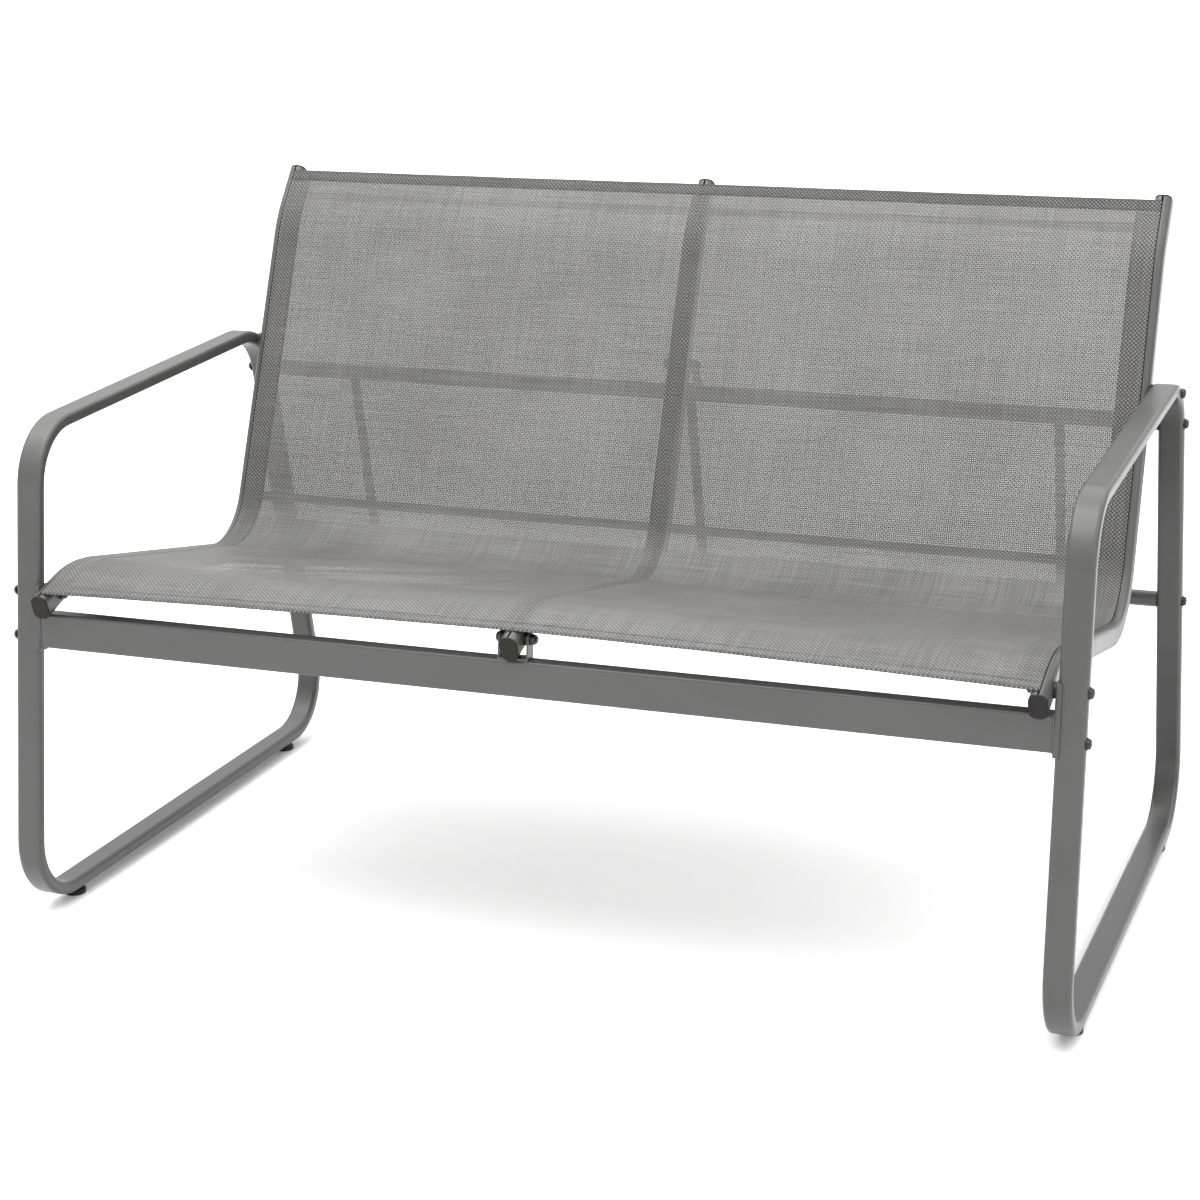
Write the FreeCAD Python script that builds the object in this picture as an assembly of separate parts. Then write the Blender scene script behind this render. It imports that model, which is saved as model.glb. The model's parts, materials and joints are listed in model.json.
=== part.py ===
import FreeCAD, Part
import math
import os

# Garden bench: two bent side loops, a front beam, two rear crossbars and three curved
# rails that hold a mesh sling. Millimetres. The bench faces -Y, +Z is up and +X is to the
# right as seen from the front, and so are the names' left and right. The origin is on the
# floor, under the middle of the bench.
Vector = FreeCAD.Vector
AXIS_X = Vector(1, 0, 0)

# Side loops: one tube bent into front leg, arm, rear leg and skid
BENCH_WIDTH = 1200.0        # over the two loops
SKID_HEIGHT = 10.0          # underside of the skids above the floor
TUBE_WIDE = 30.0            # loop tube across the bench
TUBE_THICK = 15.0           # loop tube in the plane of the loop
TUBE_CORNER = 5.0
TUBE_WALL = 1.5
BEND_RADIUS = 70.0          # to the tube's centreline
LEG_SPREAD = 738.0          # between the leg lines, carried down to the skids' underside
FRONT_LEG_LEAN = 0.115      # rearward run for each millimetre of rise
REAR_LEG_LEAN = -0.222
ARM_HEIGHT = 546.0          # arm centreline over the skids' underside, at the front leg line
ARM_RISE = 0.042            # rise for each millimetre towards the rear

# Rails: one profile from the top of the back to the front of the seat
RAIL_OFFSET = 555.5         # outer rails' centres from the middle of the bench
RAIL_WIDE = 20.0
RAIL_DEEP = 28.0
RAIL_CORNER = 8.5
RAIL_WALL = 1.6
RAIL_TOP = (691.3, 764.3)   # rearward and upward from the front leg line's foot
RAIL_FLARE = (646.4, 708.0)
RAIL_LUMBAR = (484.0, 306.0)
RAIL_KNEE = (86.0, 385.0)
RAIL_FRONT = (14.5, 361.8)
CENTER_SETBACK = 9.0        # centre rail's front end behind the outer rails'
FLARE_RADIUS = 140.0
LUMBAR_RADIUS = 90.0
KNEE_RADIUS = 130.0

# Keder groove along the sitter's side of each rail
GROOVE_SLOT = 2.2
GROOVE_BORE = 6.2
GROOVE_DEPTH = 5.4          # from the rail's face to the bore's centre
KEDER_DIAMETER = 5.0
CHAMBER_GAP = 10.5          # from the rail's face to its hollow chamber

# Sling
SLING_THICK = 1.2
SLING_LIFT = 0.3            # clear of the rails' faces
SLING_TOP_INSET = 6.0       # fabric edge below the top of the rails
SLING_FRONT_INSET = 5.0     # fabric edge behind the outer rails' front ends
FRONT_BOW = 16.0            # front edge curves back by this much at the middle
BOW_CLEAR = 40.0            # reach of the bow's cut on each side of the fabric

# Front beam and its saddles
BEAM_DEEP = 20.0
BEAM_TALL = 40.0
BEAM_CORNER = 3.0
BEAM_TOP = 349.5            # over the skids' underside
BEAM_LINE = 39.5            # beam's middle behind the front leg line's foot
PLATE = 2.0
SADDLE_BELOW = 4.0          # saddle reaches this far below the beam
SADDLE_TOP = 380.0
SADDLE_WRAP = 4.5           # flange over the leg's wide faces
SADDLE_ROUND = 4.0

# Rear crossbars, struts and spreaders
CROSSBAR_DIAMETER = 19.0
UPPER_CROSSBAR = 519.0      # over the skids' underside
LOWER_CROSSBAR = 293.0
STRUT_DIAMETER = 12.0
STRUT_OFFSET = 455.0
SPREADER_DIAMETER = 10.0
SPREADER_DOWN = 35.0        # top spreader below the rails' top end
THIN_WALL = 1.2

# Rail end caps
CAP_THICK = 2.5
CAP_EDGE = 1.0
PLUG_LENGTH = 10.0
PLUG_GAP = 0.15

# Centre brackets
EAR_GAP = 5.0               # between the rail's sides and the ears, filled by spacers
EAR_SPACER_DIAMETER = 14.0
EAR_RADIUS = 8.0
FRONT_STRIP = 16.0          # width of the front bracket's strip
REAR_STRIP = 22.0
REAR_BOLT_RISE = 26.0       # cross bolt further up the rail than the crossbar
CHEEK_REACH = 7.0           # rear bracket's ears reach this far below its base, beside the crossbar
SEAT_BED = 0.5              # depth to which the rear bracket's base is hollowed for the crossbar

# M6 fasteners
SHANK = 6.0
HOLE = 6.4
HEAD_DIAMETER = 11.0
HEAD_HEIGHT = 3.6
SOCKET_ACROSS = 4.0
SOCKET_DEPTH = 2.0
WASHER_DIAMETER = 13.0
WASHER_THICK = 1.0
NUT_ACROSS = 10.0
NUT_HEIGHT = 5.0
THREAD_GAP = 0.05
SHANK_BEYOND = 1.5          # shank past its nut
SPACER_DIAMETER = 17.0
LOW_HEAD_DIAMETER = 12.0
LOW_HEAD_HEIGHT = 1.6
BEAM_BOLT = 321.0           # beam bolts over the skids' underside
INSERT_LENGTH = 18.0
INSERT_GAP = 0.05

# Levelling feet
FOOT_FRONT = 95.0          # behind the front leg line's foot
FOOT_REAR = 636.0
FOOT_DIAMETER = 25.0
FOOT_THICK = 6.0
FOOT_EDGE = 1.8
STEM_TOP = 20.0             # above the floor
STEM_FOOT = 2.0             # stem's lower end, moulded into the disc
FOOT_INSERT_DIAMETER = 9.0
FOOT_INSERT_FLANGE = 12.0
FOOT_INSERT_FLANGE_THICK = 0.8
FOOT_INSERT_TOP = 18.0      # above the floor
STEM_GAP = 0.08

SIDES = {"left": -1, "right": 1}
LOOP_OFFSET = (BENCH_WIDTH - TUBE_WIDE) / 2
RAIL_CENTRES = {"left": -RAIL_OFFSET, "center": 0.0, "right": RAIL_OFFSET}


def unit(a, b):
    """Direction from point a to point b, both (rearward, upward)."""
    length = math.hypot(b[0] - a[0], b[1] - a[1])
    return ((b[0] - a[0]) / length, (b[1] - a[1]) / length)


def along(point, direction, distance):
    return (point[0] + direction[0] * distance, point[1] + direction[1] * distance)


def meet(point_a, direction_a, point_b, direction_b):
    """Where two lines in the side view cross."""
    cross = direction_a[0] * direction_b[1] - direction_a[1] * direction_b[0]
    gap = (point_b[0] - point_a[0], point_b[1] - point_a[1])
    distance = (gap[0] * direction_b[1] - gap[1] * direction_b[0]) / cross
    return along(point_a, direction_a, distance)


def front_leg_line(height):
    return (FRONT_LEG_LEAN * height, height)


def rear_leg_line(height):
    return (LEG_SPREAD + REAR_LEG_LEAN * height, height)


def loop_corners():
    """The loop's four corners before bending: rear foot, rear top, front top, front foot."""
    skid = (0.0, TUBE_THICK / 2)
    arm = (0.0, ARM_HEIGHT)
    level = (1.0, 0.0)
    rise = (1.0, ARM_RISE)
    front = (FRONT_LEG_LEAN, 1.0)
    rear = (REAR_LEG_LEAN, 1.0)
    return [
        meet(skid, level, rear_leg_line(0), rear),
        meet(arm, rise, rear_leg_line(0), rear),
        meet(arm, rise, front_leg_line(0), front),
        meet(skid, level, front_leg_line(0), front),
    ]


def bend_at(before, corner, after, radius):
    """Tangent points, centre and signed turn in degrees of the bend at a corner."""
    into = unit(before, corner)
    out = unit(corner, after)
    turn = math.atan2(into[0] * out[1] - into[1] * out[0], into[0] * out[0] + into[1] * out[1])
    reach = radius * math.tan(abs(turn) / 2)
    start = along(corner, into, -reach)
    end = along(corner, out, reach)
    inward = (-into[1], into[0]) if turn > 0 else (into[1], -into[0])
    return start, end, along(start, inward, radius), math.degrees(turn)


def path_steps(points, radii, closed=False):
    """Straight runs and bends through the points, as ("run", start, end) and
    ("bend", start, centre, turn)."""
    if closed:
        seam = ((points[-1][0] + points[0][0]) / 2, points[0][1])
        points = [seam] + points + [seam]
    steps = []
    here = points[0]
    for before, corner, after, radius in zip(points, points[1:], points[2:], radii):
        start, end, centre, turn = bend_at(before, corner, after, radius)
        steps.append(("run", here, start))
        steps.append(("bend", start, centre, turn))
        here = end
    steps.append(("run", here, points[-1]))
    return steps


# The depth origin is midway between the front leg's and the rear leg's outermost faces,
# which lie on the bends at the feet of the legs.
CORNERS = loop_corners()
REAR_BEND = bend_at(CORNERS[3], CORNERS[0], CORNERS[1], BEND_RADIUS)
FRONT_BEND = bend_at(CORNERS[2], CORNERS[3], CORNERS[0], BEND_RADIUS)
LOOP_MIDDLE = (REAR_BEND[2][0] + FRONT_BEND[2][0]) / 2


def world(point, x=0.0):
    """A (rearward, upward) point of the side view as a point of the bench."""
    return Vector(x, point[0] - LOOP_MIDDLE, point[1] + SKID_HEIGHT)


def direction(pair):
    return Vector(0, pair[0], pair[1])


RAIL_RADII = [FLARE_RADIUS, LUMBAR_RADIUS, KNEE_RADIUS]
LOOP_STEPS = path_steps(CORNERS, [BEND_RADIUS] * 4, closed=True)


def rail_steps(top_inset, front_inset):
    """A rail's path, shortened at its two ends."""
    top = along(RAIL_TOP, unit(RAIL_TOP, RAIL_FLARE), top_inset)
    front = along(RAIL_FRONT, unit(RAIL_FRONT, RAIL_KNEE), front_inset)
    return path_steps([top, RAIL_FLARE, RAIL_LUMBAR, RAIL_KNEE, front], RAIL_RADII)


def setback(x):
    """How far a rail's front end stands behind RAIL_FRONT."""
    return 0.0 if x else CENTER_SETBACK


def first_tangent(steps):
    return unit(steps[0][1], steps[0][2])


def rounded_wire(wide, tall, corner, x=0.0, y=0.0):
    """Rounded rectangle in the XY plane, centred on (x, y)."""
    half_x = wide / 2
    half_y = tall / 2
    dx = half_x - corner
    dy = half_y - corner
    edges = []
    for quarter in range(4):
        angle = math.radians(90 * quarter)
        cx = x + (dx if quarter in (0, 3) else -dx)
        cy = y + (dy if quarter in (0, 1) else -dy)
        centre = Vector(cx, cy, 0)
        points = []
        for part in (0, 0.5, 1):
            a = angle + part * math.pi / 2
            points.append(centre + Vector(math.cos(a), math.sin(a), 0) * corner)
        edges.append(Part.Arc(*points).toShape())
    joined = []
    for index, edge in enumerate(edges):
        joined.append(edge)
        a = edge.Vertexes[-1].Point
        b = edges[(index + 1) % 4].Vertexes[0].Point
        if a.distanceToPoint(b) > 1e-6:
            joined.append(Part.makeLine(a, b))
    return Part.Wire(joined)


def polygon_face(points):
    return Part.Face(Part.makePolygon(list(points) + [points[0]]))


def hollow_face(wide, tall, corner, wall):
    outer = Part.Face(rounded_wire(wide, tall, corner))
    inner = Part.Face(rounded_wire(wide - 2 * wall, tall - 2 * wall, corner - wall))
    return outer.cut(inner).Faces[0]


def set_on_path(face, start, tangent, x):
    """Turns a section drawn in XY so that its X stays across the bench, its Y points to
    the path's right-hand side and its plane is square to the path."""
    normal = Vector(0, tangent[1], -tangent[0])
    turned = FreeCAD.Rotation(AXIS_X, normal, direction(tangent), "XYZ")
    face = face.copy()
    face.Placement = FreeCAD.Placement(world(start, x), turned)
    return face


def sweep(face, steps, x):
    """Solid of a section carried along straight runs and bends."""
    face = set_on_path(face, steps[0][1], first_tangent(steps), x)
    solids = []
    for kind, start, target, *turn in steps:
        if kind == "run":
            move = world(target) - world(start)
            solids.append(face.extrude(move))
            face.translate(move)
        else:
            centre = world(target, x)
            solids.append(face.revolve(centre, AXIS_X, turn[0]))
            face.rotate(centre, AXIS_X, turn[0])
    return solids[0].multiFuse(solids[1:]).removeSplitter()


def single(shape):
    """The one solid of a shape, so that each file holds plain solids."""
    if len(shape.Solids) != 1:
        raise ValueError("expected one solid, got %d" % len(shape.Solids))
    return shape.Solids[0]


def cylinder(diameter, length, start, axis):
    return Part.makeCylinder(diameter / 2, length, start, axis)


def cross_hole(point, x_from, x_to, diameter=HOLE):
    """A hole along X through a side-view point."""
    return cylinder(diameter, x_to - x_from, world(point, x_from), AXIS_X)


def tube(diameter, wall, start, end):
    axis = end - start
    outer = cylinder(diameter, axis.Length, start, axis)
    return outer.cut(cylinder(diameter - 2 * wall, axis.Length, start, axis))


def hexagon(across, height, start, axis):
    radius = across / math.sqrt(3)
    points = []
    for corner in range(6):
        angle = math.radians(60 * corner)
        points.append(Vector(radius * math.cos(angle), radius * math.sin(angle), 0))
    prism = polygon_face(points).extrude(Vector(0, 0, height))
    prism.Placement = FreeCAD.Placement(start, FreeCAD.Rotation(Vector(0, 0, 1), axis))
    return prism


def button_bolt(start, axis, length):
    """Washer and domed head outside the start point, shank along the axis."""
    axis = Vector(axis).normalize()
    back = axis * -1
    washer = cylinder(WASHER_DIAMETER, WASHER_THICK, start, back)
    seat = start + back * WASHER_THICK
    head = cylinder(HEAD_DIAMETER, HEAD_HEIGHT, seat, back)
    head = head.makeFillet(HEAD_HEIGHT * 0.7, [far_edge(head, seat + back * HEAD_HEIGHT)])
    socket_start = seat + back * (HEAD_HEIGHT - SOCKET_DEPTH)
    head = head.cut(hexagon(SOCKET_ACROSS, SOCKET_DEPTH, socket_start, back))
    shank = cylinder(SHANK, length, start, axis)
    return single(washer.multiFuse([head, shank]).removeSplitter())


def far_edge(shape, centre):
    """The round edge of a cylinder whose centre is nearest to a point."""
    rounds = [edge for edge in shape.Edges if hasattr(edge.Curve, "Center")]
    return min(rounds, key=lambda edge: edge.Curve.Center.distanceToPoint(centre))


def nut(start, axis, washer=True):
    """Washer and hexagon nut laid on the start point, along the axis."""
    axis = Vector(axis).normalize()
    lift = WASHER_THICK if washer else 0.0
    body = hexagon(NUT_ACROSS, NUT_HEIGHT, start + axis * lift, axis)
    end = start + axis * (lift + NUT_HEIGHT)
    body = body.common(Part.makeCone(NUT_ACROSS * 0.5, NUT_ACROSS * 0.75, NUT_HEIGHT, end, axis * -1))
    if washer:
        body = body.fuse(cylinder(WASHER_DIAMETER, lift, start, axis))
    bore = cylinder(SHANK + 2 * THREAD_GAP, NUT_HEIGHT + lift, start, axis)
    return single(body.cut(bore).removeSplitter())


def rail_front_bolt():
    """Where the rail's front run crosses the front leg."""
    return meet(RAIL_KNEE, unit(RAIL_KNEE, RAIL_FRONT), front_leg_line(0), (FRONT_LEG_LEAN, 1.0))


def rail_rear_bolt():
    """Where the rail's back run crosses the centreline of the loop's rear top bend."""
    centre = bend_at(CORNERS[0], CORNERS[1], CORNERS[2], BEND_RADIUS)[2]
    up = unit(RAIL_LUMBAR, RAIL_FLARE)
    gap = (RAIL_LUMBAR[0] - centre[0], RAIL_LUMBAR[1] - centre[1])
    middle = -(gap[0] * up[0] + gap[1] * up[1])
    offset = math.hypot(*gap) ** 2 - middle**2
    return along(RAIL_LUMBAR, up, middle + math.sqrt(BEND_RADIUS**2 - offset))


FRONT_BOLT = rail_front_bolt()
REAR_BOLT = rail_rear_bolt()
BEAM_BOLT_POINT = front_leg_line(BEAM_BOLT)
UPPER_POINT = rear_leg_line(UPPER_CROSSBAR)
LOWER_POINT = rear_leg_line(LOWER_CROSSBAR)
LEG_INNER = LOOP_OFFSET - TUBE_WIDE / 2
LEG_OUTER = LOOP_OFFSET + TUBE_WIDE / 2
RAIL_OUTER = RAIL_OFFSET + RAIL_WIDE / 2
RAIL_INNER = RAIL_OFFSET - RAIL_WIDE / 2
SADDLE_FACE = LEG_INNER - PLATE
FEET = {"front": FOOT_FRONT, "rear": FOOT_REAR}


def side_frame(side):
    face = hollow_face(TUBE_WIDE, TUBE_THICK, TUBE_CORNER, TUBE_WALL)
    loop = sweep(face, LOOP_STEPS, side * LOOP_OFFSET)
    low = min(side * LEG_INNER, side * LEG_OUTER)
    holes = []
    for point in (FRONT_BOLT, REAR_BOLT, BEAM_BOLT_POINT, UPPER_POINT, LOWER_POINT):
        holes.append(cross_hole(point, low, low + TUBE_WIDE))
    for foot in FEET.values():
        start = world((foot, 0.0), side * LOOP_OFFSET)
        hole = cylinder(FOOT_INSERT_DIAMETER, TUBE_WALL * 2, start - Vector(0, 0, TUBE_WALL), Vector(0, 0, 1))
        holes.append(hole)
    return single(loop.cut(holes))


def rail_face():
    """Oval section with a keder groove in the sitter's side and a hollow chamber behind."""
    face = Part.Face(rounded_wire(RAIL_WIDE, RAIL_DEEP, RAIL_CORNER))
    top = RAIL_DEEP / 2
    chamber_top = top - CHAMBER_GAP
    chamber_low = RAIL_WALL - top
    chamber = Part.Face(
        rounded_wire(
            RAIL_WIDE - 2 * RAIL_WALL,
            chamber_top - chamber_low,
            (RAIL_CORNER - RAIL_WALL) * 0.7,
            0.0,
            (chamber_top + chamber_low) / 2,
        )
    )
    bore_centre = Vector(0, top - GROOVE_DEPTH, 0)
    bore = Part.Face(Part.Wire(Part.makeCircle(GROOVE_BORE / 2, bore_centre)))
    half = GROOVE_SLOT / 2
    slot = polygon_face(
        [
            Vector(-half, bore_centre.y, 0),
            Vector(half, bore_centre.y, 0),
            Vector(half, top + 1, 0),
            Vector(-half, top + 1, 0),
        ]
    )
    return face.cut([chamber, bore.fuse(slot)]).removeSplitter().Faces[0]


def rail(x):
    body = sweep(rail_face(), rail_steps(0.0, setback(x)), x)
    low = x - RAIL_WIDE / 2
    points = [FRONT_BOLT, REAR_BOLT] if x else [FRONT_BOLT, rear_bracket_bolt()]
    return single(body.cut([cross_hole(point, low, low + RAIL_WIDE) for point in points]))


def rail_cap(x, end, outward):
    """Oval lid with a plug that fills the rail's chamber; outward points out of the rail."""
    lid = Part.Face(rounded_wire(RAIL_WIDE, RAIL_DEEP, RAIL_CORNER)).extrude(Vector(0, 0, CAP_THICK))
    outer = [edge for edge in lid.Edges if abs(edge.BoundBox.ZMin - CAP_THICK) < 1e-6]
    lid = lid.makeFillet(CAP_EDGE, outer)
    top = RAIL_DEEP / 2
    chamber_top = top - CHAMBER_GAP - PLUG_GAP
    chamber_low = RAIL_WALL - top + PLUG_GAP
    plug_wire = rounded_wire(
        RAIL_WIDE - 2 * RAIL_WALL - 2 * PLUG_GAP,
        chamber_top - chamber_low,
        (RAIL_CORNER - RAIL_WALL) * 0.7,
        0.0,
        (chamber_top + chamber_low) / 2,
    )
    plug = Part.Face(plug_wire).extrude(Vector(0, 0, -PLUG_LENGTH))
    cap = lid.fuse(plug)
    at_front = outward == "front"
    tangent = unit(RAIL_KNEE, RAIL_FRONT) if at_front else unit(RAIL_TOP, RAIL_FLARE)
    if not at_front:
        cap = cap.mirror(Vector(0, 0, 0), Vector(0, 0, 1))
    return single(set_on_path(cap, end, tangent, x))


def keder(x):
    """Cord in a rail's groove, as long as the fabric is there."""
    offset = RAIL_DEEP / 2 - GROOVE_DEPTH
    circle = Part.makeCircle(KEDER_DIAMETER / 2, Vector(0, offset, 0))
    front_inset = SLING_FRONT_INSET + (0.0 if x else FRONT_BOW)
    return single(sweep(Part.Face(Part.Wire(circle)), rail_steps(SLING_TOP_INSET, front_inset), x))


def front_bow():
    """Disc whose rim is the fabric's curved front edge, set square to the front run."""
    back = unit(RAIL_FRONT, RAIL_KNEE)
    radius = (RAIL_OFFSET**2 + FRONT_BOW**2) / (2 * FRONT_BOW)
    centre = along(RAIL_FRONT, back, SLING_FRONT_INSET + FRONT_BOW - radius)
    normal = direction((-back[1], back[0]))
    return cylinder(2 * radius, 2 * BOW_CLEAR, world(centre) - normal * BOW_CLEAR, normal)


def sling():
    """Fabric stretched over the rails' faces, with a tab down each rail's groove."""
    low = RAIL_DEEP / 2 + SLING_LIFT
    high = low + SLING_THICK
    tab_foot = RAIL_DEEP / 2 - GROOVE_DEPTH + KEDER_DIAMETER / 2
    half = SLING_THICK / 2
    edge = RAIL_OFFSET + half
    outline = [
        (-edge, high),
        (-edge, tab_foot),
        (-edge + SLING_THICK, tab_foot),
        (-edge + SLING_THICK, low),
        (-half, low),
        (-half, tab_foot),
        (half, tab_foot),
        (half, low),
        (edge - SLING_THICK, low),
        (edge - SLING_THICK, tab_foot),
        (edge, tab_foot),
        (edge, high),
    ]
    face = polygon_face([Vector(x, y, 0) for x, y in outline])
    cloth = sweep(face, rail_steps(SLING_TOP_INSET, SLING_FRONT_INSET), 0.0)
    return single(cloth.cut(front_bow()))


def front_beam():
    length = 2 * SADDLE_FACE
    start = world((BEAM_LINE, BEAM_TOP - BEAM_TALL / 2), -SADDLE_FACE)
    face = hollow_face(BEAM_DEEP, BEAM_TALL, BEAM_CORNER, TUBE_WALL)
    upright = FreeCAD.Rotation(Vector(0, 1, 0), Vector(0, 0, 1), AXIS_X, "XYZ")
    face.Placement = FreeCAD.Placement(start, upright)
    beam = face.extrude(Vector(length, 0, 0))
    hole = cylinder(HOLE, TUBE_WALL * 3, world((BEAM_LINE, BEAM_TOP - TUBE_WALL * 2)), Vector(0, 0, 1))
    return single(beam.cut(hole))


def beam_saddle(side):
    """Channel around the leg's inner edge, along the leg, with rounded flange corners."""
    reach = TUBE_THICK / 2 + PLATE
    wrap = PLATE + SADDLE_WRAP
    outline = [
        (0, -reach),
        (wrap, -reach),
        (wrap, -TUBE_THICK / 2),
        (PLATE, -TUBE_THICK / 2),
        (PLATE, TUBE_THICK / 2),
        (wrap, TUBE_THICK / 2),
        (wrap, reach),
        (0, reach),
    ]
    face = polygon_face([Vector(side * x, y, 0) for x, y in outline])
    foot = front_leg_line(BEAM_TOP - BEAM_TALL - SADDLE_BELOW)
    head = front_leg_line(SADDLE_TOP)
    face = set_on_path(face, foot, unit(foot, head), side * SADDLE_FACE)
    channel = face.extrude(world(head) - world(foot))
    web_edges = [edge for edge in channel.Edges if on_web_corner(edge, side)]
    channel = channel.makeFillet(PLATE * 0.9, web_edges)
    flange_edges = [edge for edge in channel.Edges if on_flange_corner(edge, side)]
    channel = channel.makeFillet(SADDLE_ROUND, flange_edges)
    low = min(side * SADDLE_FACE, side * LEG_INNER)
    holes = [cross_hole(point, low - 1, low + PLATE + 1) for point in (FRONT_BOLT, BEAM_BOLT_POINT)]
    return single(channel.cut(holes))


def on_web_corner(edge, side):
    """Long outer edges where the saddle's web turns into its flanges."""
    box = edge.BoundBox
    return abs(box.XMin - side * SADDLE_FACE) < 1e-6 and box.XLength < 1e-6 and box.ZLength > BEAM_TALL


def on_flange_corner(edge, side):
    """Short edges across the plate at the free corners of the saddle's flanges."""
    box = edge.BoundBox
    tip = side * (SADDLE_FACE + PLATE + SADDLE_WRAP)
    return abs(box.XMin - tip) < 1e-6 and box.XLength < 1e-6 and edge.Length < PLATE * 1.1


def crossbar(point):
    return single(tube(CROSSBAR_DIAMETER, THIN_WALL, world(point, -LEG_INNER), world(point, LEG_INNER)))


def strut(x):
    """Thin tube between the crossbars, its ends hollowed to fit them."""
    pole = tube(STRUT_DIAMETER, THIN_WALL, world(LOWER_POINT, x), world(UPPER_POINT, x))
    for point in (LOWER_POINT, UPPER_POINT):
        pole = pole.cut(cylinder(CROSSBAR_DIAMETER, 4 * STRUT_DIAMETER, world(point, x - 2 * STRUT_DIAMETER), AXIS_X))
    return single(pole)


def spreader(side, point):
    ends = sorted((side * RAIL_WIDE / 2, side * RAIL_INNER))
    return single(tube(SPREADER_DIAMETER, THIN_WALL, world(point, ends[0]), world(point, ends[1])))


def spreader_points():
    """Top spreaders sit below the rails' top, lower ones where the lumbar bend ends."""
    top = along(RAIL_TOP, unit(RAIL_TOP, RAIL_FLARE), SPREADER_DOWN)
    lumbar = bend_at(RAIL_FLARE, RAIL_LUMBAR, RAIL_KNEE, LUMBAR_RADIUS)[0]
    return {"top": top, "lower": lumbar}


def rail_normal():
    """Square to the rail's back run, pointing at the sitter."""
    up = unit(RAIL_LUMBAR, RAIL_FLARE)
    return (-up[1], up[0])


def rear_bracket_bolt():
    """Cross bolt of the rear bracket, on the rail's centreline above the upper crossbar."""
    up = unit(RAIL_LUMBAR, RAIL_FLARE)
    beside = meet(RAIL_LUMBAR, up, UPPER_POINT, rail_normal())
    return along(beside, up, REAR_BOLT_RISE)


def tangent_point(point, centre, radius, side):
    """Where the line from a point grazes a circle, on the chosen side."""
    distance = math.hypot(point[0] - centre[0], point[1] - centre[1])
    heading = math.atan2(point[1] - centre[1], point[0] - centre[0])
    angle = heading + side * math.acos(radius / distance)
    return (centre[0] + radius * math.cos(angle), centre[1] + radius * math.sin(angle))


def ear(feet, bolt, x):
    """Plate from a line of points up to a round end about the bolt, starting at x."""
    outline = feet + [
        tangent_point(feet[-1], bolt, EAR_RADIUS, -1),
        tangent_point(feet[0], bolt, EAR_RADIUS, 1),
    ]
    plate = polygon_face([world(point, x) for point in outline]).extrude(AXIS_X * PLATE)
    return plate.fuse(cylinder(EAR_RADIUS * 2, PLATE, world(bolt, x), AXIS_X))


def bracket(feet, lift, bolt):
    """U bracket: an ear each side of the rail, and a base plate between the first and last
    of the ears' feet; lift points from the base to the rail."""
    ear_x = RAIL_WIDE / 2 + EAR_GAP
    reach = ear_x + PLATE
    corner = world(feet[0], -reach)
    run = world(feet[-1]) - world(feet[0])
    up = direction(lift) * PLATE
    base = polygon_face([corner, corner + run, corner + run + up, corner + up]).extrude(AXIS_X * 2 * reach)
    ears = [ear(feet, bolt, ear_x), ear(feet, bolt, -reach)]
    return base.multiFuse(ears).cut(cross_hole(bolt, -reach, reach))


def front_center_bracket():
    """Stands on the beam, with a hole in its base for the screw into the beam."""
    half = FRONT_STRIP / 2
    body = bracket([(BEAM_LINE + half, BEAM_TOP), (BEAM_LINE - half, BEAM_TOP)], (0.0, 1.0), FRONT_BOLT)
    hole = cylinder(HOLE, PLATE, world((BEAM_LINE, BEAM_TOP)), Vector(0, 0, 1))
    return single(body.cut(hole).removeSplitter())


def rear_center_bracket():
    """Its base and ears are hollowed for the upper crossbar, which they are welded to."""
    normal = rail_normal()
    up = unit(RAIL_LUMBAR, RAIL_FLARE)
    seat = along(UPPER_POINT, normal, CROSSBAR_DIAMETER / 2 - SEAT_BED)
    low = along(seat, up, -REAR_STRIP / 2)
    high = along(seat, up, REAR_STRIP / 2)
    feet = [high, along(high, normal, -CHEEK_REACH), along(low, normal, -CHEEK_REACH), low]
    body = bracket(feet, normal, rear_bracket_bolt())
    reach = RAIL_WIDE + PLATE
    bar = cylinder(CROSSBAR_DIAMETER, 2 * reach, world(UPPER_POINT, -reach), AXIS_X)
    return single(body.cut(bar).removeSplitter())


def low_screw(start, axis, length):
    """Flat round head on the start point, shank against the axis."""
    axis = Vector(axis).normalize()
    head = cylinder(LOW_HEAD_DIAMETER, LOW_HEAD_HEIGHT, start, axis)
    head = head.makeFillet(LOW_HEAD_HEIGHT * 0.6, [far_edge(head, start + axis * LOW_HEAD_HEIGHT)])
    return single(head.fuse(cylinder(SHANK, length, start, axis * -1)).removeSplitter())


def ring(outer, inner, length, start, axis):
    return single(cylinder(outer, length, start, axis).cut(cylinder(inner, length, start, axis)))


def rail_side_bolts():
    length = LEG_OUTER - RAIL_INNER + WASHER_THICK + NUT_HEIGHT + SHANK_BEYOND
    bolts = []
    for side in SIDES.values():
        for point in (FRONT_BOLT, REAR_BOLT):
            bolts.append(button_bolt(world(point, side * LEG_OUTER), AXIS_X * -side, length))
    return bolts


def rail_side_nuts():
    nuts = []
    for side in SIDES.values():
        for point in (FRONT_BOLT, REAR_BOLT):
            nuts.append(nut(world(point, side * RAIL_INNER), AXIS_X * -side))
    return nuts


def spacers(point, face):
    """A ring each side between the rail and a face of the leg or saddle."""
    rings = []
    for side in SIDES.values():
        start = world(point, side * RAIL_OUTER)
        rings.append(ring(SPACER_DIAMETER, HOLE, face - RAIL_OUTER, start, AXIS_X * side))
    return rings


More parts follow.
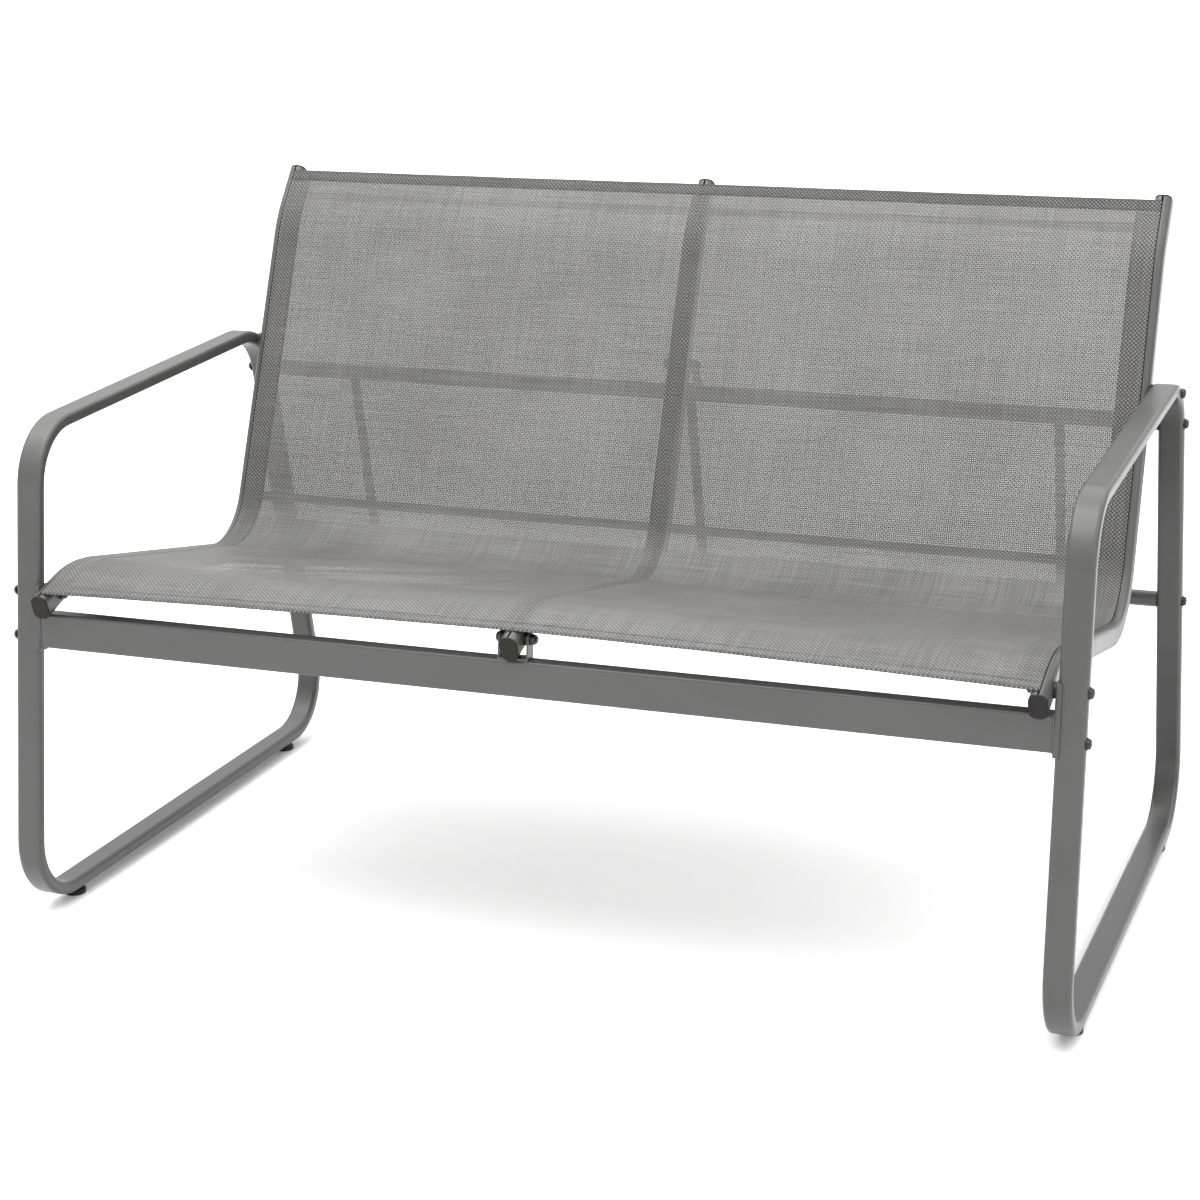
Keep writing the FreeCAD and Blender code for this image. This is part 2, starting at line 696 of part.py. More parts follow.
def bracket_spacers():
    """A ring each side of the centre rail, between it and each bracket's ears."""
    rings = []
    for point in (FRONT_BOLT, rear_bracket_bolt()):
        for side in SIDES.values():
            start = world(point, side * RAIL_WIDE / 2)
            rings.append(ring(EAR_SPACER_DIAMETER, HOLE, EAR_GAP, start, AXIS_X * side))
    return rings


def beam_bolts():
    length = LEG_OUTER - SADDLE_FACE + NUT_HEIGHT + SHANK_BEYOND
    return [
        button_bolt(world(BEAM_BOLT_POINT, side * LEG_OUTER), AXIS_X * -side, length) for side in SIDES.values()
    ]


def beam_nuts():
    return [
        nut(world(BEAM_BOLT_POINT, side * SADDLE_FACE), AXIS_X * -side, washer=False) for side in SIDES.values()
    ]


def crossbar_bolts():
    length = TUBE_WIDE + INSERT_LENGTH
    bolts = []
    for side in SIDES.values():
        for point in (UPPER_POINT, LOWER_POINT):
            bolts.append(button_bolt(world(point, side * LEG_OUTER), AXIS_X * -side, length))
    return bolts


def crossbar_inserts():
    """Threaded plugs pressed into the crossbars' ends."""
    plugs = []
    outer = CROSSBAR_DIAMETER - 2 * THIN_WALL - 2 * INSERT_GAP
    for side in SIDES.values():
        for point in (UPPER_POINT, LOWER_POINT):
            start = world(point, side * LEG_INNER)
            plugs.append(ring(outer, SHANK + 2 * THREAD_GAP, INSERT_LENGTH, start, AXIS_X * -side))
    return plugs


def bracket_cross_bolts():
    reach = RAIL_WIDE / 2 + EAR_GAP + PLATE
    length = 2 * reach + WASHER_THICK + NUT_HEIGHT + SHANK_BEYOND
    return [button_bolt(world(point, -reach), AXIS_X, length) for point in (FRONT_BOLT, rear_bracket_bolt())]


def bracket_cross_nuts():
    reach = RAIL_WIDE / 2 + EAR_GAP + PLATE
    return [nut(world(point, reach), AXIS_X) for point in (FRONT_BOLT, rear_bracket_bolt())]


def front_bracket_screw():
    start = world((BEAM_LINE, BEAM_TOP + PLATE))
    return low_screw(start, Vector(0, 0, 1), PLATE + TUBE_WALL + NUT_HEIGHT + SHANK_BEYOND)


def front_bracket_nut():
    return nut(world((BEAM_LINE, BEAM_TOP - TUBE_WALL)), Vector(0, 0, -1), washer=False)


def foot_axis(side, distance, height):
    """A point on a foot's centreline, at a height above the floor."""
    return world((distance, height - SKID_HEIGHT), side * LOOP_OFFSET)


def foot(side, distance):
    """Glide disc with a rounded rim and a blind hole for its stem."""
    up = Vector(0, 0, 1)
    start = foot_axis(side, distance, 0.0)
    disc = cylinder(FOOT_DIAMETER, FOOT_THICK, start, up)
    disc = disc.makeFillet(FOOT_EDGE, [far_edge(disc, start + up * FOOT_THICK)])
    disc = disc.makeChamfer(FOOT_EDGE / 3, [far_edge(disc, start)])
    return single(disc.cut(cylinder(SHANK, FOOT_THICK, foot_axis(side, distance, STEM_FOOT), up)))


def foot_stem(side, distance):
    start = foot_axis(side, distance, STEM_FOOT)
    return single(cylinder(SHANK, STEM_TOP - STEM_FOOT, start, Vector(0, 0, 1)))


def foot_inserts():
    """Threaded sleeves in the skids' undersides, each with a thin rim below."""
    sleeves = []
    up = Vector(0, 0, 1)
    for side in SIDES.values():
        for distance in FEET.values():
            base = world((distance, 0.0), side * LOOP_OFFSET)
            rim = cylinder(FOOT_INSERT_FLANGE, FOOT_INSERT_FLANGE_THICK, base, up * -1)
            body = cylinder(FOOT_INSERT_DIAMETER, FOOT_INSERT_TOP - SKID_HEIGHT, base, up)
            bore_start = base - up * FOOT_INSERT_FLANGE_THICK
            bore = cylinder(SHANK + 2 * STEM_GAP, FOOT_INSERT_TOP, bore_start, up)
            sleeves.append(single(rim.fuse(body).cut(bore).removeSplitter()))
    return sleeves


def frame_nodes():
    nodes = {
        "front_beam": front_beam(),
        "upper_crossbar": crossbar(UPPER_POINT),
        "lower_crossbar": crossbar(LOWER_POINT),
    }
    for name, side in SIDES.items():
        nodes["side_frame_" + name] = side_frame(side)
        nodes["beam_saddle_" + name] = beam_saddle(side)
    for name, x in (("left", -STRUT_OFFSET), ("center", 0.0), ("right", STRUT_OFFSET)):
        nodes["strut_" + name] = strut(x)
    return nodes


def seat_nodes():
    nodes = {"sling": sling()}
    for name, x in RAIL_CENTRES.items():
        nodes["rail_" + name] = rail(x)
        nodes["keder_" + name] = keder(x)
        front = along(RAIL_FRONT, unit(RAIL_FRONT, RAIL_KNEE), setback(x))
        nodes["rail_cap_front_" + name] = rail_cap(x, front, "front")
        nodes["rail_cap_top_" + name] = rail_cap(x, RAIL_TOP, "top")
    for level, point in spreader_points().items():
        for name, side in SIDES.items():
            nodes["spreader_%s_%s" % (level, name)] = spreader(side, point)
    return nodes


def fastener_nodes():
    return {
        "front_center_bracket": front_center_bracket(),
        "rear_center_bracket": rear_center_bracket(),
        "rail_side_bolts": rail_side_bolts(),
        "rail_side_nuts": rail_side_nuts(),
        "rail_spacers_front": spacers(FRONT_BOLT, SADDLE_FACE),
        "rail_spacers_rear": spacers(REAR_BOLT, LEG_INNER),
        "bracket_spacers": bracket_spacers(),
        "beam_bolts": beam_bolts(),
        "beam_nuts": beam_nuts(),
        "crossbar_bolts": crossbar_bolts(),
        "crossbar_inserts": crossbar_inserts(),
        "bracket_cross_bolts": bracket_cross_bolts(),
        "bracket_cross_nuts": bracket_cross_nuts(),
        "front_bracket_screw": front_bracket_screw(),
        "front_bracket_nut": front_bracket_nut(),
        "foot_inserts": foot_inserts(),
    }


def foot_nodes():
    nodes = {}
    for end, distance in FEET.items():
        for name, side in SIDES.items():
            nodes["foot_%s_%s" % (end, name)] = foot(side, distance)
            nodes["foot_stem_%s_%s" % (end, name)] = foot_stem(side, distance)
    return nodes


def main():
    os.makedirs("parts", exist_ok=True)
    nodes = {}
    nodes.update(frame_nodes())
    nodes.update(seat_nodes())
    nodes.update(fastener_nodes())
    nodes.update(foot_nodes())
    for name, shape in nodes.items():
        if isinstance(shape, list):
            shape = Part.Compound(shape)
        shape.exportStep("parts/%s.step" % name)
    print("wrote %d nodes" % len(nodes))


main()
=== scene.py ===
import json
import math
import random

import bpy
from mathutils import Matrix, Vector


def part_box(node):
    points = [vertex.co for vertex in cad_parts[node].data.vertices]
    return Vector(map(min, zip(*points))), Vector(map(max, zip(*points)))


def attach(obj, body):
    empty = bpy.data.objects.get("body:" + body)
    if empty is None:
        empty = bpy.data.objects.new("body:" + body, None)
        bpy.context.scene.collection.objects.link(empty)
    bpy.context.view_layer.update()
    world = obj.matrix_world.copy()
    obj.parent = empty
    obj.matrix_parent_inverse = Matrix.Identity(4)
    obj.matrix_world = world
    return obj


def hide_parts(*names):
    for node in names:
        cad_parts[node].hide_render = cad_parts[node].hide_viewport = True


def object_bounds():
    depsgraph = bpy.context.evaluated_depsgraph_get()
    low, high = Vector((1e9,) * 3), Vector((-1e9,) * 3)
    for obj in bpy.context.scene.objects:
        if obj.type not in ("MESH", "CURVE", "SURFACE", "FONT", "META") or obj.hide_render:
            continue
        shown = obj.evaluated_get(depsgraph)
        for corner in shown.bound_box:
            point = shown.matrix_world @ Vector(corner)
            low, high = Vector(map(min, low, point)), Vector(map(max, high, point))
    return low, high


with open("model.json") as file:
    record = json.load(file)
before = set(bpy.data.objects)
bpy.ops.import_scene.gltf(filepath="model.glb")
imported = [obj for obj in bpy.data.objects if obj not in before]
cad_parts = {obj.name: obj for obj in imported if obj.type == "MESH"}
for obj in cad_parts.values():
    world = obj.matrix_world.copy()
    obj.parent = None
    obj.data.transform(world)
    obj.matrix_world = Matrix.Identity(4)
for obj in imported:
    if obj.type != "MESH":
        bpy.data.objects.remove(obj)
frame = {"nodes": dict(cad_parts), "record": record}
NODES = frame["nodes"]
CAD_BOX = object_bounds()

MM = 0.001

# ---------------------------------------------------------------- sizes, in millimetres
# The rails' side view, as (rearward, upward), and its bends' radii. These repeat part.py's
# rail route, which the cloth follows.
ROUTE = [(691.3, 764.3), (646.4, 708.0), (484.0, 306.0), (86.0, 385.0), (14.5, 361.8)]
ROUTE_RADII = [140.0, 90.0, 130.0]
TOP_INSET = 6.0             # cloth starts this far below the rails' top
FRONT_INSET = 5.0           # and this far behind the rails' front end
FRONT_BOW = 16.0            # the front edge curves back by this much at the middle
BOW_FADE = 170.0            # the rows of the cloth straighten out over this length
RAIL_HALF_DEEP = 14.0
CAD_CLOTH_FACE = 1.5        # the CAD cloth's outer face above the rails
RAIL_CENTRE = 555.5         # outer rails' centres from the middle

# Cloth, measured from the rails' centrelines
CLOTH_LEVEL = 15.1          # middle of the main layer
HEM_LEVEL = 14.42           # middle of the folded layer under it
CLOTH_THICK = 0.45
TAB_FOOT = 10.0             # where the main layer ends inside the groove
TAB_BEND = 1.6
SEAT_SAG = 4.0
BACK_SAG = 2.2

# Hems, folded behind the main layer
SIDE_HEM = 28.0
TOP_HEM = 16.0
FRONT_HEM = 17.0
CENTRE_HEM = 11.5           # half the centre sleeve
FOLD_REACH = 1.2            # the main layer turns into its fold this far from the edge
FOLD_CLEAR = 2.2            # end hems stop this far inside the outer rails' centres
SIDE_CLEAR = 2.6            # and the side hems this far
HEM_GAP = 0.8               # between a side hem and an end hem
HEM_PUCKER = 0.6            # share of the main layer's gathers
LAYER_SHIFT = (0.9, 0.7)    # a hem's weave is out of step with the main layer's by this much

# Painted shade over the hems and the centre sleeve, against 1 on the back: more on the top hem,
# less on the seat
TOP_PAINTED_SHADE = 2.2
SEAT_PAINTED_SHADE = 0.3
SEAT_FADE = 90.0            # length of the change from back to seat

# Stitching
STITCH_LONG = 3.1
STITCH_PITCH = 4.0
STITCH_RADIUS = 0.42
STITCH_SIDES = 6
STITCH_LIFT = 0.05          # above the cloth's face
SEAM_ENDS = 6.0             # seams down the cloth stop this far from its edges
SEAM_HALF = RAIL_CENTRE - 5.0
SEAM_INSET = 2.5            # between a hem's inner edge and its seam
EDGE_SEAM = 4.0             # second front seam, from the edge
CENTRE_SEAM = 5.5

# One stitch: (share along it, share of its radius, lift in radii)
STITCH_RINGS = [
    (-0.5, 0.35, -0.5),
    (-0.36, 0.85, 0.0),
    (0.0, 1.0, 0.25),
    (0.36, 0.85, 0.0),
    (0.5, 0.35, -0.5),
]

WEAVE = 2.4                 # between neighbouring yarns

# Spacing of the cloth's mesh
ROUTE_STEP = 6.0
ROW_STEP = 7.0
COLUMN_STEP = 9.0
SIDE_HEM_STEP = 4.0
SLEEVE_STEP = 3.0

# Weld beads, and the tubes that they run round
STRUT_RADIUS = 6.0
CROSSBAR_RADIUS = 9.5
SPREADER_RADIUS = 5.0
BEAM_CORNER = 3.0
BEAD = 1.3                  # radius, mostly sunk in the corner it fills
SPREADER_BEAD = 1.1
BEAD_SIDES = 8
BEAD_OFF_FACE = 0.2         # centre of the bead off the face that the tube meets
BEAM_BEAD_STEP = 1.6
STRUT_BEAD_STEPS = 40
SPREADER_BEAD_STEPS = 36

random.seed(11)


# ---------------------------------------------------------------- the rails' route
def unit(a, b):
    return (Vector(b) - Vector(a)).normalized()


def make_route(points, radii, step):
    """Points (rearward, upward) along straight runs and tangent arcs, and how far along the
    route each one is."""
    path = []

    def run(a, b):
        count = max(1, int((b - a).length / step))
        for k in range(count):
            path.append(a.lerp(b, k / count))

    here = points[0]
    for before, corner, after, radius in zip(points, points[1:], points[2:], radii):
        into = (corner - before).normalized()
        out = (after - corner).normalized()
        turn = math.atan2(into.x * out.y - into.y * out.x, into.dot(out))
        reach = radius * math.tan(abs(turn) / 2)
        start = corner - into * reach
        end = corner + out * reach
        side = 1 if turn > 0 else -1
        centre = start + Vector((-into.y, into.x)) * radius * side
        run(here, start)
        count = max(2, int(abs(turn) * radius / (step * 0.6)))
        spoke = start - centre
        for k in range(count):
            angle = turn * k / count
            c, s = math.cos(angle), math.sin(angle)
            path.append(centre + Vector((spoke.x * c - spoke.y * s, spoke.x * s + spoke.y * c)))
        here = end
    run(here, points[-1])
    path.append(points[-1])
    lengths = [0.0]
    for a, b in zip(path, path[1:]):
        lengths.append(lengths[-1] + (b - a).length)
    return path, lengths


def sling_route():
    points = [Vector(p) for p in ROUTE]
    points[0] = points[0] + unit(ROUTE[0], ROUTE[1]) * TOP_INSET
    points[-1] = points[-1] + unit(ROUTE[-1], ROUTE[-2]) * FRONT_INSET
    return make_route(points, ROUTE_RADII, ROUTE_STEP)


PATH, LENGTHS = sling_route()
TOTAL = LENGTHS[-1]
SLING_LOW, SLING_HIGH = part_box("sling")


def at(s):
    """Position on the route s millimetres from its top, and the normal towards the sitter."""
    s = min(max(s, 0.0), TOTAL)
    low, high = 0, len(LENGTHS) - 1
    while high - low > 1:
        middle = (low + high) // 2
        if LENGTHS[middle] <= s:
            low = middle
        else:
            high = middle
    share = (s - LENGTHS[low]) / (LENGTHS[high] - LENGTHS[low])
    tangent = slope(low).lerp(slope(high), share).normalized()
    return PATH[low].lerp(PATH[high], share), Vector((tangent.y, -tangent.x))


def slope(index):
    """The route's direction at one of its points."""
    a = PATH[max(index - 1, 0)]
    b = PATH[min(index + 1, len(PATH) - 1)]
    return (b - a).normalized()


def side_shift():
    """How far the route's numbers, which start at the front leg, are from the frame's: the
    CAD box of the cloth says."""
    steps = 399
    lows = []
    highs = []
    for k in range(steps + 1):
        point, normal = at(TOTAL * k / steps)
        outer = point + normal * (RAIL_HALF_DEEP + CAD_CLOTH_FACE)
        lows.append(outer.x)
        highs.append(outer.y)
    return SLING_LOW.y / MM - min(lows), SLING_HIGH.z / MM - max(highs)


SHIFT_Y, SHIFT_Z = side_shift()


def bowed(x, s):
    """Draws the rows near the front edge back towards the middle, to follow its curve."""
    fade = min(max((s - TOTAL + BOW_FADE) / BOW_FADE, 0.0), 1.0)
    return s - FRONT_BOW * (1 - (x / RAIL_CENTRE) ** 2) * fade * fade * (3 - 2 * fade)


def place(x, s, level):
    """A point x across, s along and level off the route, as a vector in metres."""
    point, normal = at(bowed(x, s))
    spot = point + normal * level
    return Vector((x, spot.x + SHIFT_Y, spot.y + SHIFT_Z)) * MM


def sag(x, s):
    """How far the cloth hangs below the rails between them."""
    middle = RAIL_CENTRE / 2
    share = max(0.0, 1 - ((abs(x) - middle) / (middle - 8)) ** 2)
    if s > LUMBAR_S:
        along = (s - LUMBAR_S) / (TOTAL - LUMBAR_S)
        depth = SEAT_SAG * math.sin(math.pi * min(1.0, 0.12 + 0.8 * along))
    else:
        depth = BACK_SAG * math.sin(math.pi * (0.08 + 0.9 * s / LUMBAR_S))
    ripple = 0.25 * math.sin(x * 0.045 + s * 0.021) * math.sin(s * 0.033 + 1.0)
    return share * max(depth, 0.3) + ripple * share


def lumbar_length():
    """Where along the route the bend between back and seat has its middle."""
    lowest = min(range(len(PATH)), key=lambda k: PATH[k].y)
    return LENGTHS[lowest]


LUMBAR_S = lumbar_length()


# ---------------------------------------------------------------- mesh helpers
def make_object(name, vertices, faces, coordinates=None):
    """A smooth-shaded mesh; coordinates are each point's place on the flat cloth and how
    much painted shade a hem or the centre sleeve lays on it there."""
    mesh = bpy.data.meshes.new(name)
    mesh.from_pydata([tuple(v) for v in vertices], [], faces)
    mesh.update()
    if coordinates:
        layer = mesh.attributes.new("cloth", "FLOAT_VECTOR", "POINT")
        flat = []
        for u, v, hem_painted_shade in coordinates:
            flat.extend((u * MM, v * MM, hem_painted_shade))
        layer.data.foreach_set("vector", flat)
    mesh.polygons.foreach_set("use_smooth", [True] * len(mesh.polygons))
    piece = bpy.data.objects.new(name, mesh)
    bpy.context.scene.collection.objects.link(piece)
    return piece


def grid_faces(columns, rows, flip=False):
    """Quads between points given row by row."""
    faces = []
    for r in range(rows - 1):
        for c in range(columns - 1):
            a = r * columns + c
            quad = (a, a + 1, a + columns + 1, a + columns)
            faces.append(quad[::-1] if flip else quad)
    return faces


def thicken(piece, thick):
    solid = piece.modifiers.new("thickness", "SOLIDIFY")
    solid.thickness = thick * MM
    solid.offset = 0.0
    return piece


def spaced(low, high, step):
    """Even steps from low to high, as near to step as fits."""
    count = max(1, round((high - low) / step))
    return [low + (high - low) * k / count for k in range(count + 1)]


# ---------------------------------------------------------------- cloth
def across_section():
    """(x, drop below the main level) across the cloth, from groove to groove."""
    edge = RAIL_CENTRE
    tab = [(edge, CLOTH_LEVEL - TAB_FOOT), (edge, TAB_BEND)]
    for k in range(1, 5):
        angle = math.pi / 2 * k / 5
        tab.append((edge - TAB_BEND * (1 - math.cos(angle)), TAB_BEND * (1 - math.sin(angle))))
    tab.append((edge - TAB_BEND, 0.0))
    flat = stepped(4.0, edge - TAB_BEND - 3.0, COLUMN_STEP, (CENTRE_HEM, edge - SIDE_HEM))
    crease = [(2.2, 0.12), (1.0, 0.5), (0.0, 0.75)]
    right = tab + [(x, 0.0) for x in reversed(flat)] + crease
    left = [(-x, drop) for x, drop in reversed(right[:-1])]
    return list(reversed(right + left))


def pucker(x, s):
    """Small gathers that the seams pull into the cloth."""
    near_side = math.exp(-((abs(x) - (RAIL_CENTRE - SIDE_HEM)) / 9.0) ** 2)
    near_front = math.exp(-((s - (TOTAL - FRONT_HEM)) / 7.0) ** 2)
    near_top = math.exp(-((s - TOP_HEM) / 6.0) ** 2)
    wave_s = math.sin(s * 0.21 + 1.3 * math.sin(s * 0.013))
    wave_x = math.sin(x * 0.17 + 1.7 * math.sin(x * 0.011))
    return 0.16 * near_side * wave_s + 0.22 * (near_front + near_top) * wave_x


def hem_painted_shade(x, s):
    """How much painted shade a hem or the centre sleeve lays on the cloth here: the most
    on the top hem, and less on the seat."""
    if s < TOP_HEM:
        return TOP_PAINTED_SHADE
    at_side = abs(x) > RAIL_CENTRE - SIDE_HEM
    if not (at_side or s > TOTAL - FRONT_HEM or abs(x) < CENTRE_HEM):
        return 0.0
    onto_seat = min(max((s - LUMBAR_S) / SEAT_FADE + 0.5, 0.0), 1.0)
    return 1.0 + (SEAT_PAINTED_SHADE - 1.0) * onto_seat


def stepped(low, high, step, edges):
    """Even steps, with a close pair of steps at each edge given, where the painted shade changes.
    """
    pairs = [edge + off for edge in edges for off in (-0.2, 0.2)]
    return sorted(set(spaced(low, high, step) + pairs))


def make_sling():
    """The main layer, and its flat width."""
    section = across_section()
    rows = stepped(FOLD_REACH, TOTAL - FOLD_REACH, ROW_STEP, (TOP_HEM, TOTAL - FRONT_HEM))
    vertices = []
    coordinates = []
    widths = [0.0]
    for (xa, da), (xb, db) in zip(section, section[1:]):
        widths.append(widths[-1] + math.hypot(xb - xa, db - da))
    for s in rows:
        for (x, drop), u in zip(section, widths):
            off = CLOTH_LEVEL - drop - sag(x, s) + pucker(x, s) * (1 if drop == 0 else 0)
            vertices.append(place(x, s, off))
            coordinates.append((u, s, hem_painted_shade(x, s)))
    piece = make_object("sling_cloth", vertices, grid_faces(len(section), len(rows)), coordinates)
    return thicken(piece, CLOTH_THICK), widths[-1]


def second_layer(x, s, level, lift=0.0):
    """A point of a hem, and its place on the flat cloth."""
    spot = place(x, s, level + lift - sag(x, s) + pucker(x, s) * HEM_PUCKER)
    # A hem's own layer carries the full painted shade, 1.
    return spot, (x + LAYER_SHIFT[0], s + lift + LAYER_SHIFT[1], 1.0)


def make_strip(name, x_from, x_to, step):
    """The folded layer of a side hem or the centre sleeve, just under the main cloth."""
    columns = spaced(x_from, x_to, step)
    rows = spaced(TOP_HEM + HEM_GAP, TOTAL - FRONT_HEM - HEM_GAP, ROW_STEP)
    points = [second_layer(x, s, HEM_LEVEL) for s in rows for x in columns]
    vertices, coordinates = zip(*points)
    piece = make_object(name, vertices, grid_faces(len(columns), len(rows)), coordinates)
    return thicken(piece, CLOTH_THICK)


def make_fold(name, s_edge, inward):
    """The rounded fold along the cloth's top or front edge, from the main layer round to
    the hem's layer."""
    level = (CLOTH_LEVEL + HEM_LEVEL) / 2
    radius = (CLOTH_LEVEL - HEM_LEVEL) / 2
    hem = TOP_HEM if inward > 0 else FRONT_HEM
    profile = [(hem, -radius)]
    for reach in (hem * 0.75, hem * 0.5, hem * 0.25, 2.0):
        profile.append((reach, -radius))
    for k in range(7):
        angle = -math.pi / 2 + math.pi * k / 6
        profile.append((FOLD_REACH - 1.1 * math.cos(angle), radius * math.sin(angle)))
    columns = spaced(-RAIL_CENTRE + FOLD_CLEAR, RAIL_CENTRE - FOLD_CLEAR, COLUMN_STEP)
    points = [
        second_layer(x, s_edge + inward * reach, level, lift)
        for reach, lift in profile for x in columns
    ]
    vertices, coordinates = zip(*points)
    faces = grid_faces(len(columns), len(profile), inward > 0)
    return thicken(make_object(name, vertices, faces, coordinates), CLOTH_THICK)


# ---------------------------------------------------------------- stitches
def stitch_row(spots):
    """Stitches along a list of (position, outward) pairs, evenly spaced, as mesh data."""
    vertices = []
    faces = []
    sides = STITCH_SIDES
    for (here, up), (there, _) in zip(spots[::2], spots[1::2]):
        run = there - here
        middle = (here + there) / 2
        sideways = run.cross(up).normalized()
        lean = random.uniform(-0.05, 0.05)
        base = len(vertices)
        for share, wide, lift in STITCH_RINGS:
            centre = middle + run * share + sideways * (run.length * lean * share)
            centre = centre + up * (lift * STITCH_RADIUS * MM)
            for k in range(sides):
                angle = 2 * math.pi * k / sides
                radius = STITCH_RADIUS * MM * wide
                flattened = sideways * math.cos(angle) * radius * 1.15
                vertices.append(centre + flattened + up * math.sin(angle) * radius)
        for r in range(len(STITCH_RINGS) - 1):
            for k in range(sides):
                a = base + r * sides + k
                b = base + r * sides + (k + 1) % sides
                faces.append((a, b, b + sides, a + sides))
        faces.append(tuple(base + k for k in reversed(range(sides))))
        last = base + (len(STITCH_RINGS) - 1) * sides
        faces.append(tuple(last + k for k in range(sides)))
    return vertices, faces


def seam_spots(seam):
    """Start and end of every stitch along a seam: a function of millimetres, and a length."""
    position, length = seam
    spots = []
    count = int(length // STITCH_PITCH)
    margin = (length - (count - 1) * STITCH_PITCH - STITCH_LONG) / 2
    for k in range(count):
        start = margin + k * STITCH_PITCH
        for distance in (start, start + STITCH_LONG):
            spots.append(position(distance))
    return spots


def on_face(x, s):
    """A point on the cloth's face, and the way out of it."""
    _, normal = at(s)
    level = CLOTH_LEVEL + CLOTH_THICK / 2 + STITCH_LIFT - sag(x, s) + pucker(x, s)
    return place(x, s, level), Vector((0, normal.x, normal.y))


def seam_along(x):
    return lambda distance: on_face(x, SEAM_ENDS + distance), TOTAL - 2 * SEAM_ENDS


def seam_across(s):
    return lambda distance: on_face(distance - SEAM_HALF, s), 2 * SEAM_HALF


def make_stitches(name, seams):
    vertices = []
    faces = []
    for seam in seams:
        more, rows = stitch_row(seam_spots(seam))
        base = len(vertices)
        vertices.extend(more)
        faces.extend(tuple(base + k for k in face) for face in rows)
    return make_object(name, vertices, faces)


# ---------------------------------------------------------------- weld beads
def bead(name, loops, radius):
    """Rippled weld beads along closed loops of (position, outward) pairs."""
    vertices = []
    faces = []
    sides = BEAD_SIDES
    for loop in loops:
        base = len(vertices)
        count = len(loop)
        for index, (spot, out) in enumerate(loop):
            ahead = loop[(index + 1) % count][0] - loop[index - 1][0]
            ahead.normalize()
            out = (out - ahead * out.dot(ahead)).normalized()
            sideways = ahead.cross(out)
            ripple = 0.16 * math.sin(index * 2.1) + random.uniform(-0.06, 0.06)
            swell = radius * MM * (1 + ripple)
            for k in range(sides):
                angle = 2 * math.pi * k / sides
                around = out * math.cos(angle) * swell + sideways * math.sin(angle) * swell
                vertices.append(spot + around)
        for index in range(count):
            for k in range(sides):
                a = base + index * sides + k
                b = base + index * sides + (k + 1) % sides
                c = base + ((index + 1) % count) * sides + (k + 1) % sides
                d = base + ((index + 1) % count) * sides + k
                faces.append((a, b, c, d))
    return make_object(name, vertices, faces)


def centre_of(node):
    low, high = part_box(node)
    return (low + high) / 2


def strut_loops(node):
    """Where a strut meets the two crossbars."""
    strut_radius = STRUT_RADIUS * MM
    bar_radius = CROSSBAR_RADIUS * MM
    upper = centre_of("upper_crossbar")
    lower = centre_of("lower_crossbar")
    x = centre_of(node).x
    loops = []
    for bar, other in ((upper, lower), (lower, upper)):
        axis = other - bar
        axis.x = 0
        axis.normalize()
        across = Vector((1, 0, 0))
        third = axis.cross(across)
        loop = []
        for k in range(STRUT_BEAD_STEPS):
            angle = 2 * math.pi * k / STRUT_BEAD_STEPS
            a = strut_radius * math.cos(angle)
            b = strut_radius * math.sin(angle)
            reach = math.sqrt(max(bar_radius ** 2 - b ** 2, 0))
            out = across * math.cos(angle) + third * math.sin(angle)
            spot = Vector((x, bar.y, bar.z)) + axis * reach + across * a + third * b
            loop.append((spot, (out + axis).normalized()))
        loops.append(loop)
    return loops


def spreader_loops(node):
    """Where a spreader meets the rails at its two ends."""
    radius = SPREADER_RADIUS * MM
    off_face = BEAD_OFF_FACE * MM
    low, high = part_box(node)
    y, z = (low.y + high.y) / 2, (low.z + high.z) / 2
    loops = []
    for x, inward in ((low.x, 1), (high.x, -1)):
        loop = []
        for k in range(SPREADER_BEAD_STEPS):
            angle = 2 * math.pi * k / SPREADER_BEAD_STEPS
            out = Vector((0, math.cos(angle), math.sin(angle)))
            spot = Vector((x, y, z)) + out * radius + Vector((inward * off_face, 0, 0))
            loop.append((spot, (out + Vector((inward, 0, 0))).normalized()))
        loops.append(loop)
    return loops


def beam_loops():
    """Round the front beam where it meets its saddles."""
    low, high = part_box("front_beam")
    y, z = (low.y + high.y) / 2, (low.z + high.z) / 2
    half_y, half_z = (high.y - low.y) / 2, (high.z - low.z) / 2
    corner = BEAM_CORNER * MM
    off_face = BEAD_OFF_FACE * MM
    loops = []
    for x, inward in ((low.x, 1), (high.x, -1)):
        outline = []
        for quarter in range(4):
            cy = (half_y - corner) * (1 if quarter in (0, 3) else -1)
            cz = (half_z - corner) * (1 if quarter in (0, 1) else -1)
            for k in range(5):
                angle = math.pi / 2 * (quarter + k / 4)
                out = Vector((0, math.cos(angle), math.sin(angle)))
                outline.append((Vector((0, cy, cz)) + out * corner, out))
        loop = []
        for (spot, out), (after, after_out) in zip(outline, outline[1:] + outline[:1]):
            steps = max(1, int((after - spot).length / (BEAM_BEAD_STEP * MM)))
            for k in range(steps):
                share = k / steps
                here = spot.lerp(after, share) + Vector((x + inward * off_face, y, z))
                turned = out.lerp(after_out, share).normalized()
                loop.append((here, (turned + Vector((inward, 0, 0))).normalized()))
        loops.append(loop)
    return loops


